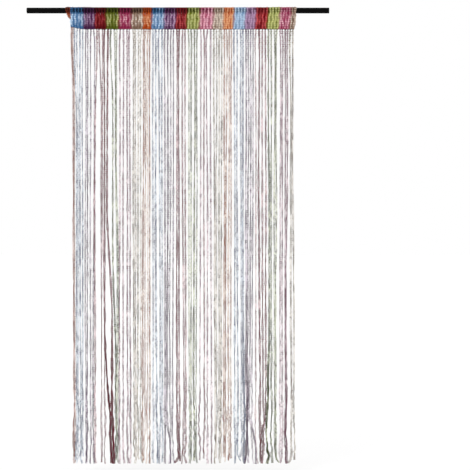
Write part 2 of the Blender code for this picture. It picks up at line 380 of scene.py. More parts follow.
# %% Crimp, gathers and curled ends
DROP = -STRING_END - HEADER_DEPTH
LINK = 0.0082
TUCK_IN = 0.0045
BESIDE = 0.0013
BESIDE_PATCH = 0.4
CRIMP = 0.0004
WANDER = 0.0009
RIPPLES = (
    (CRIMP, 0.018, 0.045, 1.0, 2.4),
    (CRIMP, 0.040, 0.090, 0.7, 2.4),
    (WANDER, 0.035, 0.070, 0.0, 1.0),
    (WANDER, 0.060, 0.130, 0.1, 1.0),
)
RIPPLES_GROW = (0.74, 0.98)
GATHER_DEPTH = 0.0040
TAIL = 0.045
CURL = 0.17
LEAST_CURL = 0.02
PATCH_STEP = (0.25, 0.75)
GATHERS = (
    (-0.368, 0.011, 0.90, 0.95, 1.20, 1.30, 0.50),
    (-0.287, 0.010, 0.93, 0.99, 1.20, 1.30, 0.35),
    (-0.206, 0.010, 0.88, 0.93, 0.96, 1.02, 0.45),
    (-0.088, 0.012, 0.90, 0.96, 1.20, 1.30, 0.50),
    (0.011, 0.026, 0.90, 0.995, 1.20, 1.30, 0.55),
    (0.080, 0.014, 0.84, 0.93, 0.96, 1.02, 0.60),
    (0.205, 0.009, 0.90, 0.95, 1.20, 1.30, 0.45),
    (0.305, 0.015, 0.78, 0.86, 0.92, 0.99, 0.66),
    (0.384, 0.014, 0.84, 0.92, 0.95, 1.00, 0.62),
    (0.462, 0.009, 0.88, 0.93, 0.97, 1.02, 0.35),
)
HOOKS = {3: -0.5, 37: 0.4, 38: -0.8, 41: 0.6, 59: 0.5, 66: 0.4, 73: 0.7, 78: -0.7}


def patches(count, size, draw):
    """Uneven levels down every string: a normal draw each size metres, joined by short steps."""
    place = (shares - shares[0]) * DROP / size
    draws = draw.normal(size=(count, int(place[-1]) + 2))
    above = place.astype(int)
    part = smooth(*PATCH_STEP, place - above)
    return draws[:, above] * (1.0 - part) + draws[:, above + 1] * part


def hanging_lines(draw):
    """Middle lines of all strings as (strings, rings, 3), three rings a link.

    side = route + place beside it + four ripples + pull * near * held * (middle - side) for each
    gather, where near falls off as exp(-distance^4) and held is a bell down the length, + the arc
    of the tail. A ripple is a sine that grows towards the end. Its row gives its reach, its
    shortest and longest period, and its strength early and late.
    """
    side, aft, height = string_routes(shares)
    count = len(side)
    down = shares[None, :] * DROP
    beside = BESIDE * smooth(0.0, 0.03, shares) * (1.0 - 0.5 * smooth(0.1, 0.4, shares))
    side = side + beside * (draw.normal(size=(count, 1)) + patches(count, BESIDE_PATCH, draw))
    for reach, shortest, longest, early, late in RIPPLES:
        size = reach * draw.uniform(0.3, 1.0, (count, 1))
        period = draw.uniform(shortest, longest, (count, 1))
        phase = draw.uniform(0.0, 2.0 * np.pi, (2, count, 1))
        growth = early + (late - early) * smooth(*RIPPLES_GROW, shares)[None, :]
        side = side + size * growth * np.sin(2.0 * np.pi * down / period + phase[0])
        aft = aft + 0.5 * size * growth * np.sin(2.0 * np.pi * down / period + phase[1])

    behind = -np.cos(np.pi * (np.arange(count) // 2))[:, None]
    for middle, reach, begins, holds, opens, ends, pull in GATHERS:
        near = np.exp(-(((side - middle) / reach) ** 4))
        held = smooth(begins, holds, shares) * (1.0 - smooth(opens, ends, shares))
        side = side + pull * near * held * (middle - side)
        aft = aft + GATHER_DEPTH * near * held * behind

    turned = draw.normal(0.0, CURL, (count, 1))
    turned[list(HOOKS), 0] = list(HOOKS.values())
    turned = np.where(np.abs(turned) < LEAST_CURL, LEAST_CURL, turned)
    tail = np.maximum(down - down[:, -1:] + TAIL, 0.0)
    angle = turned * (tail / TAIL)
    side = side + TAIL / turned * (1.0 - np.cos(angle))
    height = height + tail - TAIL / turned * np.sin(angle)
    return np.stack([side, aft, height], axis=-1)


rings = 3 * int(round((DROP + TUCK_IN) / LINK)) + 1
shares = np.linspace(-TUCK_IN / DROP, 1.0, rings)
lines = hanging_lines(np.random.RandomState(SEED + 1))
print(lines.shape[0], "strings of", lines.shape[1], "rings, a link every", 1000 * LINK, "mm")

# %% [markdown]
# ## One mesh from many shapes
#
# A curtain is thousands of equal small things, so no thing gets its own object. Each shape comes
# as arrays of points and faces for all its copies at once, and one helper strings the arrays
# together into a single mesh. A number on every point, its tone, tells the dye how pale it is.


# %% One mesh from many shapes
def shape_of(points, faces, finishes, tone, soft=True):
    """One bundle of points, face arrays with a finish number for each face, tones, and soft or flat."""
    return {"points": points, "faces": faces, "finishes": finishes, "tone": tone, "soft": soft}


def make_piece(name, shapes, finishes):
    """Joins shapes into one mesh object: faces keep their order, and point numbers move up."""
    points = np.concatenate([shape["points"].reshape(-1, 3) for shape in shapes])
    tones = np.concatenate([shape["tone"].ravel() for shape in shapes])
    corners, counts, numbers, soft = [], [], [], []
    start = 0
    for shape in shapes:
        for faces, finish in zip(shape["faces"], shape["finishes"]):
            corners.append((faces + start).ravel())
            counts.append(np.full(len(faces), faces.shape[1]))
            numbers.append(np.broadcast_to(finish, len(faces)))
            soft.append(np.full(len(faces), shape["soft"]))
        start += shape["points"].size // 3
    corners = np.concatenate(corners)
    counts = np.concatenate(counts)
    mesh = bpy.data.meshes.new(name)
    mesh.vertices.add(len(points))
    mesh.vertices.foreach_set("co", points.astype(np.float32).ravel())
    mesh.loops.add(len(corners))
    mesh.loops.foreach_set("vertex_index", corners.astype(np.int32))
    mesh.polygons.add(len(counts))
    mesh.polygons.foreach_set("loop_start", (np.cumsum(counts) - counts).astype(np.int32))
    for made in finishes:
        mesh.materials.append(made)
    mesh.polygons.foreach_set("material_index", np.concatenate(numbers).astype(np.int32))
    mesh.polygons.foreach_set("use_smooth", np.concatenate(soft))
    tone = mesh.attributes.new("tone", "FLOAT", "POINT")
    tone.data.foreach_set("value", tones.astype(np.float32))
    mesh.update(calc_edges=True)
    mesh.validate()
    piece = bpy.data.objects.new(name, mesh)
    bpy.context.scene.collection.objects.link(piece)
    print(name, "has", int((counts - 2).sum()), "triangles")
    return piece


# %% [markdown]
# ## A yarn is a tube
#
# Every yarn here is a section of three corners carried along a line. Three corners are enough,
# because a yarn is only a few millimetres thick and is shaded smooth. The strings alone have
# over eighteen thousand links, so each corner saved counts.


# %% A yarn is a tube
CORNERS = np.radians([90.0, 210.0, 330.0])


def tubes(centres, along, across, wide, deep):
    """Closed three-cornered tubes round the lines centres, all (tubes, rings, 3).

    A corner is centre + wide cos(a) across + deep sin(a) outward, at the three angles a, where
    outward is along x across. Rings are joined by quads and ends are closed.
    """
    outward = np.cross(along, across)
    angle = CORNERS[None, None, :, None]
    wide = np.broadcast_to(wide, centres.shape[:2])[:, :, None, None]
    deep = np.broadcast_to(deep, centres.shape[:2])[:, :, None, None]
    points = centres[:, :, None] + wide * np.cos(angle) * across[:, :, None]
    points = points + deep * np.sin(angle) * outward[:, :, None]
    here = np.arange(points.size // 3).reshape(points.shape[:3])
    beside = np.roll(here, -1, axis=2)
    quads = np.stack([here[:, :-1], beside[:, :-1], beside[:, 1:], here[:, 1:]], axis=-1)
    ends = np.concatenate([here[:, 0, ::-1], here[:, -1]])
    return points, quads.reshape(-1, 4), ends


def yarn_shape(tube, dyes, tone):
    """Bundles tubes, with a dye for each step between two rings (or one for all), and tones."""
    points, quads, ends = tube
    dyes = np.broadcast_to(dyes, (points.shape[0], points.shape[1] - 1))
    finishes = [np.repeat(dyes.ravel(), len(CORNERS)), np.concatenate([dyes[:, 0], dyes[:, -1]])]
    return shape_of(points, [quads, ends], finishes, np.broadcast_to(tone, points.shape[:3]))


def directions(centres):
    """Unit direction of each line at each ring, from the rings before and after it."""
    step = np.gradient(centres, axis=1)
    return step / np.linalg.norm(step, axis=-1, keepdims=True)


def squared(wanted, along):
    """wanted with its part along the line taken out, as a unit vector."""
    left = wanted - along * np.sum(wanted * along, axis=-1, keepdims=True)
    return left / np.linalg.norm(left, axis=-1, keepdims=True)


print("a yarn has", len(CORNERS), "corners, so", 2 * len(CORNERS), "triangles from ring to ring")

# %% [markdown]
# ## The chain
#
# In the hand, a string is a flat chain of small eyes, as from a crochet hook. Two side yarns
# cross, part round an eye, and cross again, and in each eye sits a bright scrap of foil, the
# sequin that gives the curtain its glitter. A link has three rings, and the pattern comes round
# after six. The first yarn leaves the crossing at 0.8 of the reach, is widest half way round the
# eye and comes back at 0.8 on the same side, in front at one crossing and behind at the next.
# The second yarn is its mirror image through the middle line.


# %% The chain
ASIDE = np.array([0.8, -0.8, -1.1, -0.8, 0.8, 1.1])
AHEAD = np.array([1.0, 1.0, 0.0, -1.0, -1.0, 0.0])


def chain_yarns(centres, along, across, reach, depth, radius):
    """The two side yarns of each chain, as tubes: centre +- (reach aside across + depth ahead out)."""
    turn = np.arange(centres.shape[1]) % len(ASIDE)
    aside = ASIDE[turn][None, :, None]
    ahead = AHEAD[turn][None, :, None]
    outward = np.cross(along, across)
    reach = np.broadcast_to(reach, centres.shape[:2])[:, :, None]
    shift = reach * aside * across + depth * ahead * outward
    lines = np.concatenate([centres + shift, centres - shift])
    radius = np.broadcast_to(radius, centres.shape[:2])
    radius = np.concatenate([radius, radius])
    return tubes(lines, np.concatenate([along, along]), np.concatenate([across, across]), radius, radius)


print("the chain's pattern comes round every", round(1000 * LINK * len(ASIDE) / 3, 1), "mm")

# %% [markdown]
# ## The foil
#
# The foil is a flat crystal of six corners and eight faces, which is few enough to be repeated
# twenty thousand times. No two lie alike in their eyes, or they would all flash at once: each is
# rolled about the line, tipped in the plane of the chain, and a little larger or smaller.

# %% The foil
FOIL_CORNERS = np.array([(1, 0, 0), (-1, 0, 0), (0, 1, 0), (0, -1, 0), (0, 0, 1), (0, 0, -1)], float)
UPPER_FACES = [(0, 2, 4), (2, 1, 4), (1, 3, 4), (3, 0, 4)]
LOWER_FACES = [(2, 0, 5), (1, 2, 5), (3, 1, 5), (0, 3, 5)]
FOIL_FACES = np.array(UPPER_FACES + LOWER_FACES)
FOIL_ROLL = 0.45
FOIL_TIP = 0.16
FOIL_SIZES = (0.82, 1.15)


def chain_foils(centres, along, across, half_sizes, draw):
    """An eight-faced scrap of foil in every eye, thin and turned a little at random.

    A corner is centre + the foil's half sizes along its own three directions, which are across,
    outward and along, rolled and then tipped.
    """
    middle, along, across = centres[:, 2::3], along[:, 2::3], across[:, 2::3]
    outward = np.cross(along, across)
    roll = draw.normal(0.0, FOIL_ROLL, (*middle.shape[:2], 1))
    tip = draw.normal(0.0, FOIL_TIP, (*middle.shape[:2], 1))
    first = np.cos(roll) * across + np.sin(roll) * outward
    third = np.cos(tip) * along + np.sin(tip) * first
    first = np.cos(tip) * first - np.sin(tip) * along
    second = np.cross(third, first)
    axes = np.stack([first, second, third], axis=2)
    sizes = np.asarray(half_sizes) * draw.uniform(*FOIL_SIZES, (*middle.shape[:2], 3))
    points = middle[:, :, None] + FOIL_CORNERS @ (axes * sizes[..., None])
    starts = len(FOIL_CORNERS) * np.arange(middle[..., 0].size)
    return points, (FOIL_FACES[None] + starts[:, None, None]).reshape(-1, 3)


def foil_shape(foils, dyes, tone):
    """Bundles foils, with a dye for each chain (or one for all) and a tone for each foil."""
    points, faces = foils
    dyes = np.repeat(np.broadcast_to(dyes, len(points)), len(FOIL_FACES) * points.shape[1])
    tone = np.repeat(tone[:, :, None], len(FOIL_CORNERS), axis=2)
    return shape_of(points, [faces], [dyes], tone, soft=False)


print("a scrap of foil has", len(FOIL_CORNERS), "corners and", len(FOIL_FACES), "faces")

# %% [markdown]
# ## The dyes
#
# Each dye comes in three strengths: deep, full and pale. A tone of 0 is the deep one, a quarter
# is the full one and 1 is the pale one. In the sleeve the ground threads are deep to full, and
# the ribs go up to the pale shade, which is partly the yarn's own and partly a painted sheen
# for the light on the shiny ribs. Out on the strings the same yarn looks greyer, because light
# comes through it from all sides, and its foil is paler still. The strings' pale ends are nearly
# white, so that pale patches paint the glints of the twisting chain. The colours are written as
# they would be mixed on a screen, 0 to 255, and turned into light.

# %% The dyes
# The pale ends of the sleeve's dyes are partly the yarn's own and partly painted sheen on the ribs.
HEADER_DYES_AND_SHEEN = {
    "blue": ((28, 56, 88), (64, 118, 172), (214, 236, 255)),
    "purple": ((44, 16, 44), (92, 42, 90), (214, 178, 212)),
    "red": ((60, 0, 6), (120, 0, 14), (226, 96, 98)),
    "green": ((48, 56, 6), (102, 112, 16), (222, 224, 150)),
    "pink": ((92, 16, 46), (172, 46, 90), (252, 200, 216)),
    "beige": ((66, 48, 38), (146, 112, 90), (246, 234, 220)),
    "orange": ((112, 38, 6), (208, 86, 24), (252, 202, 152)),
    "rust": ((56, 20, 10), (142, 56, 24), (224, 138, 96)),
}
# The strings' pale ends are nearly white, so that pale patches paint the glints of the chain.
STRING_DYES_AND_GLINTS = {
    "blue": ((38, 46, 96), (112, 126, 148), (226, 235, 246)),
    "purple": ((58, 22, 66), (88, 60, 84), (226, 212, 226)),
    "red": ((98, 4, 28), (100, 44, 56), (236, 202, 206)),
    "green": ((46, 56, 4), (80, 84, 42), (224, 228, 200)),
    "pink": ((96, 26, 58), (114, 72, 90), (242, 218, 226)),
    "beige": ((84, 64, 40), (140, 127, 112), (240, 232, 222)),
    "orange": ((136, 58, 14), (142, 102, 80), (246, 226, 212)),
    "rust": ((124, 66, 48), (150, 108, 98), (232, 204, 196)),
}
FULL_AT = 0.25


def light_of(colour):
    """A screen colour as light: a channel that is c of 255 becomes ((c + 0.055) / 1.055) ^ 2.4."""
    share = np.asarray(colour) / 255.0
    return np.where(share > 0.04, ((share + 0.055) / 1.055) ** 2.4, share / 12.92)


def between(first, second, share):
    """The mix of two screen colours."""
    return (1.0 - share) * np.array(first, float) + share * np.array(second, float)


print(len(HEADER_DYES_AND_SHEEN), "dyes in the sleeve, and the same", len(STRING_DYES_AND_GLINTS), "greyed for the strings")

# %% [markdown]
# ## Noise, uneven shine and bumps
#
# A finish in Blender is a tree of nodes that ends in one shader. Noise, uneven shine and bumps
# come back in every finish here, so each has its own helper. The noise is read at the object's
# own coordinates, which every piece has, so that nothing needs to be unwrapped for it.


# %% Noise, uneven shine and bumps
def link_nodes(tree, links):
    """Joins (from node, output, to node, input) in a material's tree."""
    for source, output, target, socket in links:
        tree.links.new(source.outputs[output], target.inputs[socket])


def noise(tree, scale, detail=2.0):
    """Noise on the object's own coordinates, with scale waves to the metre."""
    place = tree.nodes.new("ShaderNodeTexCoord")
    made = tree.nodes.new("ShaderNodeTexNoise")
    made.inputs["Scale"].default_value = scale
    made.inputs["Detail"].default_value = detail
    link_nodes(tree, [(place, "Object", made, "Vector")])
    return made


def uneven_shine(tree, shader, source, shiniest, dullest):
    """Roughness from shiniest to dullest, as a noise goes from 0 to 1."""
    shine = tree.nodes.new("ShaderNodeMapRange")
    shine.inputs["To Min"].default_value = shiniest
    shine.inputs["To Max"].default_value = dullest
    link_nodes(tree, [(source, "Fac", shine, "Value"), (shine, "Result", shader, "Roughness")])


def bumps(tree, shader, source, strength, distance):
    """Bumps of a noise, distance metres high."""
    made = tree.nodes.new("ShaderNodeBump")
    made.inputs["Strength"].default_value = strength
    made.inputs["Distance"].default_value = distance
    link_nodes(tree, [(source, "Fac", made, "Height"), (made, "Normal", shader, "Normal")])


def tone_of_point(tree):
    """The number that make_piece puts on every point."""
    made = tree.nodes.new("ShaderNodeAttribute")
    made.attribute_name = "tone"
    return made


# %% [markdown]
# ## The yarn's finish
#
# Polyester yarn is silky: hundreds of fine fibres, each with a soft shine. Two noises do the
# work. A coarse one lets the dye run a little along the yarn, and a fine one gives the fibres
# their bumps and uneven shine. The tone of each point shifts the dye towards its pale end.


# %% The yarn's finish
def yarn_finish(name, shades, coarse, fine, shine_level):
    """Silky dyed yarn: colour = deep, full, pale by tone and coarse noise, bump by fine noise."""
    made, shader = new_finish(name)
    tree = made.node_tree
    shader.inputs["Sheen Weight"].default_value = 0.03
    shader.inputs["Sheen Roughness"].default_value = 0.4
    shader.inputs["Specular IOR Level"].default_value = shine_level
    fibre = noise(tree, fine, 3.0)
    uneven_shine(tree, shader, fibre, 0.38, 0.70)
    bumps(tree, shader, fibre, 0.5, 0.0003)
    shift = tree.nodes.new("ShaderNodeMath")
    shift.operation = "MULTIPLY_ADD"
    shift.inputs[1].default_value = 0.5
    shift.inputs[2].default_value = -0.25
    total = tree.nodes.new("ShaderNodeMath")
    total.operation = "ADD"
    total.use_clamp = True
    dye = tree.nodes.new("ShaderNodeValToRGB")
    dye.color_ramp.elements.new(FULL_AT)
    for element, shade in zip(dye.color_ramp.elements, shades):
        element.color = (*light_of(shade), 1.0)
    link_nodes(
        tree,
        (
            (noise(tree, coarse), "Fac", shift, 0),
            (shift, 0, total, 0),
            (tone_of_point(tree), "Fac", total, 1),
            (total, 0, dye, "Fac"),
            (dye, "Color", shader, "Base Color"),
        ),
    )
    return made


# %% [markdown]
# ## The foil's finish
#
# The glitter is a scrap of dyed metal foil in each eye. Metal takes its colour from what it
# reflects, so one scrap flashes white and the next stays dark. The tone picks how much dye the
# lacquer on it holds, and a fine noise dulls it in spots, as handling does.


# %% The foil's finish
def foil_finish(name, shades):
    """Dyed foil: metal whose colour goes from dull to bright by tone, with spotty roughness."""
    dull = between(shades[0], shades[2], 0.18)
    bright = between(shades[2], (255, 255, 255), 0.5)
    made, shader = new_finish(name)
    tree = made.node_tree
    shader.inputs["Metallic"].default_value = 0.85
    uneven_shine(tree, shader, noise(tree, 700.0), 0.12, 0.42)
    dye = tree.nodes.new("ShaderNodeMix")
    dye.data_type = "RGBA"
    dye.inputs["A"].default_value = (*light_of(dull), 1.0)
    dye.inputs["B"].default_value = (*light_of(bright), 1.0)
    link_nodes(tree, [(tone_of_point(tree), "Fac", dye, "Factor"), (dye, "Result", shader, "Base Color")])
    return made


# %% [markdown]
# ## How the strings differ
#
# No two strings took the dye alike. Each has its own paleness, patches of four sizes on top of
# that, and one side yarn darker than the other, now the first and now the second. The patches
# are partly the dye's and partly painted glints: where they run nearly white, they stand for the
# flashes of the twisting chain. A table says which strings are darker and thicker than the rest,
# or paler and thinner where its number is negative. That shows more from a third of the way
# down, and on the late ones mostly near the end.

# %% How the strings differ
DEEPER = {
    0: -0.05, 3: -0.10, 4: 0.06, 6: -0.12, 8: -0.05, 11: -0.10, 12: -0.10, 13: 0.62, 14: 0.64,
    15: 0.12, 16: -0.12, 17: -0.25, 24: -0.05, 25: -0.10, 27: -0.25, 28: -0.20, 30: -0.15,
    31: 0.05, 32: -0.12, 33: -0.08, 35: 0.05, 36: -0.15, 37: -0.10, 38: 0.20, 39: 0.15,
    40: -0.05, 42: -0.15, 43: -0.05, 44: 0.10, 45: -0.10, 49: -0.15, 51: -0.20, 57: -0.15,
    60: -0.15, 61: 0.25, 62: 0.28, 65: -0.10, 66: -0.10, 67: 0.20, 68: 0.05, 69: 0.15,
    70: 0.52, 72: -0.10, 74: -0.10, 75: -0.10, 76: 0.08, 77: 0.18,
}
LATE = (13, 14, 61, 62, 70, 76, 77)
DEEPER_REACH = 0.15
DEEPER_RADIUS = 1.9
TONE = 0.33
OWN_TONE = 0.22
TONE_SHIFT = {"blue": 0.05, "beige": 0.08, "red": -0.12, "pink": -0.07, "purple": -0.08}
TONE_AND_GLINT_PATCHES = ((0.24, 0.16), (0.085, 0.22), (0.034, 0.17), (0.014, 0.20))
DARK_SIDE = 0.26
DARK_SIDE_PATCH = 0.25


def extra_depth(members):
    """The table's number for each string, times a share that grows down the string.

    The share goes from 0.5 to 1 between 0.2 and 0.6 of the length. On the late ones it goes from
    0.3 to 1 between 0.66 and 0.82.
    """
    depth = np.array([DEEPER.get(member, 0.0) for member in members])[:, None]
    late = np.isin(members, LATE)[:, None]
    usual_share = 0.5 + 0.5 * smooth(0.2, 0.6, shares)
    late_share = 0.3 + 0.7 * smooth(0.66, 0.82, shares)
    return depth * np.where(late, late_share, usual_share)


def string_tone(members, draw):
    """How pale each string is down its length.

    tone = TONE + the string's own level - its extra depth + the dye's shift, which is stronger
    lower down, + a touch from the middle on + patches of four sizes, partly dye and partly
    painted glints where they run pale. Under the sleeve the strings are still much alike.
    """
    count = len(members)
    apart = 0.4 + 0.6 * smooth(0.02, 0.15, shares)
    tone = TONE + draw.uniform(-OWN_TONE, OWN_TONE, (count, 1)) * apart - extra_depth(members)
    shift = TONE_SHIFT.get(COLOURS[string_dyes[members[0]]], 0.0)
    tone = tone + shift * (0.8 + 0.7 * smooth(0.3, 0.6, shares))
    tone = tone + 0.03 * smooth(0.1, 0.5, shares) - 0.02 * smooth(0.8, 0.9, shares)
    # Patches: the darker ones are the dye's, and the pale, nearly white ones are painted glints.
    for size, strength in TONE_AND_GLINT_PATCHES:
        tone = tone + strength * patches(count, size, draw) * apart
    return np.clip(tone, 0.0, 1.0)


def two_sides(tone, draw):
    """One side yarn is darker and the other paler than tone, by DARK_SIDE tanh(2 patches)."""
    uneven = DARK_SIDE * np.tanh(2.0 * patches(len(tone), DARK_SIDE_PATCH, draw))
    return np.clip(np.concatenate([tone - uneven, tone + uneven]), 0.0, 1.0)


print(len(DEEPER), "strings are darker or paler than the rest,", len(LATE), "of them only late")

# %% [markdown]
# ## Knitting the strings
#
# Now each dye gets its strings in one go. The chain lies flat where it leaves the sleeve and
# then turns slowly about its own line, one way and back, so that here it shows its flat side
# and there its edge. Just under the sleeve its yarns are thick and drawn close together. From
# there it gets wider all the way to its end, where nothing pulls the links tight.

# %% Knitting the strings
REACH = 0.0027
DEPTH = 0.0010
YARN_RADIUS = 0.00114
FOIL = (0.0023, 0.0007, 0.0031)
OWN_WIDTH = (0.85, 1.12)
UNEVEN_WIDTH = 0.10
WIDTH_PATCH = 0.02
TIGHT_DOWN_TO = 0.12
TURNS = ((0.6, 1.6), (2.0, 4.5), (5.0, 9.0))
TURNS_FREE_AT = 0.09
FLASH = (0.05, 0.35)


def string_frames(centres, draw):
    """along and across of each string: across turns by slow sines that start at the sleeve."""
    count = len(centres)
    along = directions(centres)
    angle = np.zeros((count, len(shares)))
    for fewest, most in TURNS:
        turns = draw.uniform(fewest, most, (count, 1))
        phase = draw.uniform(0.0, 2.0 * np.pi, (count, 1))
        size = draw.uniform(0.3, 1.0, (count, 1))
        angle += size * np.sin(2.0 * np.pi * turns * shares + phase)
    angle *= smooth(0.0, TURNS_FREE_AT, shares)
    flat = np.stack([np.cos(angle), np.sin(angle), np.zeros_like(angle)], axis=-1)
    return along, squared(flat, along)


def fullness():
    """How wide the chain is down its length: 1, a little more at the top, and up to 1.4 at the end."""
    upper = 0.16 * (1.0 - smooth(0.0, 0.11, shares))
    lower = 0.29 * smooth(-0.10, 0.60, shares) + 0.11 * smooth(0.80, 0.90, shares)
    return 1.0 + upper + lower


def knit_strings(number, colour):
    """All strings of one dye, as yarns and foils in one piece."""
    draw = np.random.RandomState(SEED + 20 + number)
    members = np.flatnonzero(string_dyes == number)
    centres = lines[members]
    count = len(members)
    along, across = string_frames(centres, draw)
    own_width = draw.uniform(*OWN_WIDTH, (count, 1))
    wide = fullness() * (own_width + UNEVEN_WIDTH * patches(count, WIDTH_PATCH, draw))
    extra = extra_depth(members)
    tight = 1.0 - smooth(0.0, TIGHT_DOWN_TO, shares)
    reach = REACH * wide * (1.0 + DEEPER_REACH * extra) * (1.0 - 0.12 * tight)
    radius = YARN_RADIUS * wide * (1.0 + DEEPER_RADIUS * extra) * (1.0 + 0.10 * tight)
    tube = chain_yarns(centres, along, across, reach, DEPTH, radius)
    tone = string_tone(members, draw)
    yarns = yarn_shape(tube, 0, two_sides(tone, draw)[:, :, None])
    flash = np.clip(tone[:, 2::3] + draw.normal(*FLASH, tone[:, 2::3].shape), 0.0, 1.0)
    foils = foil_shape(chain_foils(centres, along, across, FOIL, draw), 1, flash)
    finishes = [
        yarn_finish(colour + " chain yarn", STRING_DYES_AND_GLINTS[colour], 260.0, 2600.0, 0.25),
        foil_finish(colour + " foil", STRING_DYES_AND_GLINTS[colour]),
    ]
    return make_piece("strings_" + colour, [yarns, foils], finishes)


string_pieces = [knit_strings(number, colour) for number, colour in enumerate(COLOURS)]
for piece in string_pieces:
    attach(piece, "root")
    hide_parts("strings")

# %% [markdown]
# ## The way round the pole
#
# The sleeve is one band of knitting, a thousand by two hundred millimetres, doubled over the
# pole and closed along its foot. Seen from its end it is a drop: half a circle over the pole
# and two straight sides that meet at the seam. A share of the way from the front foot, over the
# top, to the back foot says where a thread is.

# %% The way round the pole
POLE_RADIUS = 0.0125
SEAM = 0.0012


def sleeve(way, foot, out):
    """y, z and the share of the depth below the axis, for shares of the way round.

    Up the front, y goes from -SEAM at the foot to -radius at the axis. Over the pole it is
    -radius cos(t) and z is radius sin(t). The back mirrors the front.
    """
    radius = POLE_RADIUS + out
    straight = HEADER_DEPTH + HEM_DROP
    flat_share = straight / (2.0 * straight + np.pi * radius)
    front = np.minimum(way, 1.0 - way)
    up = np.clip(front / flat_share, 0.0, 1.0)
    angle = np.pi * np.clip((way - flat_share) / (1.0 - 2.0 * flat_share), 0.0, 1.0)
    sideways = -np.cos(angle) * (SEAM + out + (radius - SEAM - out) * up)
    return sideways, foot * (1.0 - up) + radius * np.sin(angle), 1.0 - up


# %% [markdown]
# ## The ribs of the sleeve
#
# Each string begins as a rib of the sleeve, knitted with the same chain, and runs down the
# front, or up the back. The ribs are not straight: the net between them is loose, so they lean
# and wander by a few millimetres. On top of the pole the knitting stands off a little, most of
# all near its two ends. A thin rib more on either side is the selvedge. At the far left three
# rust ribs go over the pole only. Below it they draw in to nothing and tuck behind the blue
# band, which leaves the little tongue.

# %% The ribs of the sleeve
FLAP_RIBS = 3
FLAP_WIDTH = 0.0245
FLAP_DEPTH = 0.0375
FLAP_ROUND = 0.42
FLAP_INSET = 0.0060
RIB_WANDER = 0.0024
LOOSE = 0.0016
SELVEDGES = (0.0014, HEADER_WIDTH - 0.0008)
SELVEDGE_SHARE = 0.45

flap_tops = HEADER_LEFT - FLAP_WIDTH * (np.arange(FLAP_RIBS)[::-1] + 0.5) / FLAP_RIBS
rib_tops = np.concatenate([flap_tops, [HEADER_LEFT + SELVEDGES[0]], tops, [HEADER_LEFT + SELVEDGES[1]]])
rib_dyes = np.array([COLOURS.index("rust")] * FLAP_RIBS + band_dyes[:1] + band_dyes + band_dyes[-1:])
rib_share = np.ones((len(rib_tops), 1))
rib_share[[FLAP_RIBS, -1]] = SELVEDGE_SHARE


def looseness(top):
    """How far the knitting stands off over the pole: more at both ends, and uneven from rib to rib."""
    ends = 1.0 - smooth(0.02, 0.18, top - HEADER_LEFT) * (1.0 - smooth(0.62, 0.95, top - HEADER_LEFT))
    return LOOSE * (0.25 + 0.75 * ends) * (1.0 + 0.7 * np.sin(571.0 * top) * np.sin(143.0 * top + 1.0))


def rib_lines(rib_top, way, out):
    """Points of ribs over the sleeve, (ribs, rings, 3), and their share of the depth.

    side = top + lean + three sines of the top and the way round, which fade at both ends of the
    drop. Over the pole the looseness stands the ribs off. On the flap, side = the tuck + what
    shows of (top - tuck), a power of the depth left, and the rib then passes between the layers.
    """
    top, way = np.broadcast_arrays(rib_top, way)
    foot = hem_foot(np.maximum(top, HEADER_LEFT))
    crown = np.maximum(1.0 - 4.0 * np.abs(way - 0.5), 0.0)
    out = out * (0.35 + 0.65 * np.abs(2.0 * way - 1.0)) + looseness(top) * crown
    aft, height, down = sleeve(way, foot, out)
    wander = np.sin(74.0 * top + 7.0 * way) + np.sin(191.0 * top - 19.0 * way + 1.0)
    wander = wander + 0.8 * np.sin(463.0 * top + 41.0 * way + 2.0)
    loose = 1.4 * np.sqrt(np.maximum(down * (1.0 - down), 0.0))
    side = top + (leaned(top) - top) * down + RIB_WANDER * wander * loose

    below = -foot * down / FLAP_DEPTH
    tucked = HEADER_LEFT + FLAP_INSET
    flap = tucked + (top - tucked) * np.maximum(1.0 - below, 0.0) ** FLAP_ROUND
    on_flap = top < HEADER_LEFT
    aft = np.where(on_flap, aft * (1.0 - 0.8 * smooth(0.55, 1.05, below)), aft)
    return np.stack([np.where(on_flap, flap, side), aft, height], axis=-1), down


RIB_LINKS = 23
RIB_OUT = 0.0020
rib_way = np.linspace(0.0, 1.0, 3 * RIB_LINKS + 1)[None, :]
rib_centres, rib_down = rib_lines(rib_tops[:, None], rib_way, RIB_OUT)
print(len(rib_tops), "ribs,", rib_centres.shape[1], "rings each")

# %% [markdown]
# ## How open and how pale the knitting is
#
# Over the pole the sleeve is stretched tight, and on the left the net opens so far that the
# black pole shows through it. To the right the knitting is fuller, and so it is where it hangs
# slack below the pole. One number between 0 and 1 says how full it is at any place. A second
# one is the paleness of a rib, partly its yarn's own and partly a painted sheen for the light
# that the shiny ribs catch: each band has its own, from the table, and the painted sheen is
# strongest half way down. Towards the hem it fades again, each rib at a height of its own. A
# third number is the depth of the dye, which darkens ribs and net alike over the pole and at
# the hem. All three change from left to right, as the photographed sleeve does.

# %% How open and how pale the knitting is
# Each band's rib paleness: partly the yarn's own, partly painted sheen.
PALENESS = (0.88, 0.55, 0.28, 0.46, 0.62, 0.85, 0.46, 1.25, 0.85, 0.62, 1.40)
PALENESS += (1.45, 1.50, 1.10, 1.95, 1.80, 0.82, 1.50, 0.85, 0.30)
FLAP_PALENESS = 0.30
RIB_FADES = (0.66, 0.96)
UNDER_POLE = (0.10, 0.28)
RIB_REACH = 0.0012
RIB_SPREAD = 0.0020
RIB_RADIUS = 0.00070
RIB_SWELL = 0.00042
rib_pale = np.repeat(PALENESS, [count for _, _, count in BANDS])
rib_pale = np.concatenate([[FLAP_PALENESS] * FLAP_RIBS, rib_pale[:1], rib_pale, rib_pale[-1:]])[:, None]
draw = np.random.RandomState(SEED + 50)
rib_fades = draw.uniform(*RIB_FADES, rib_pale.shape)


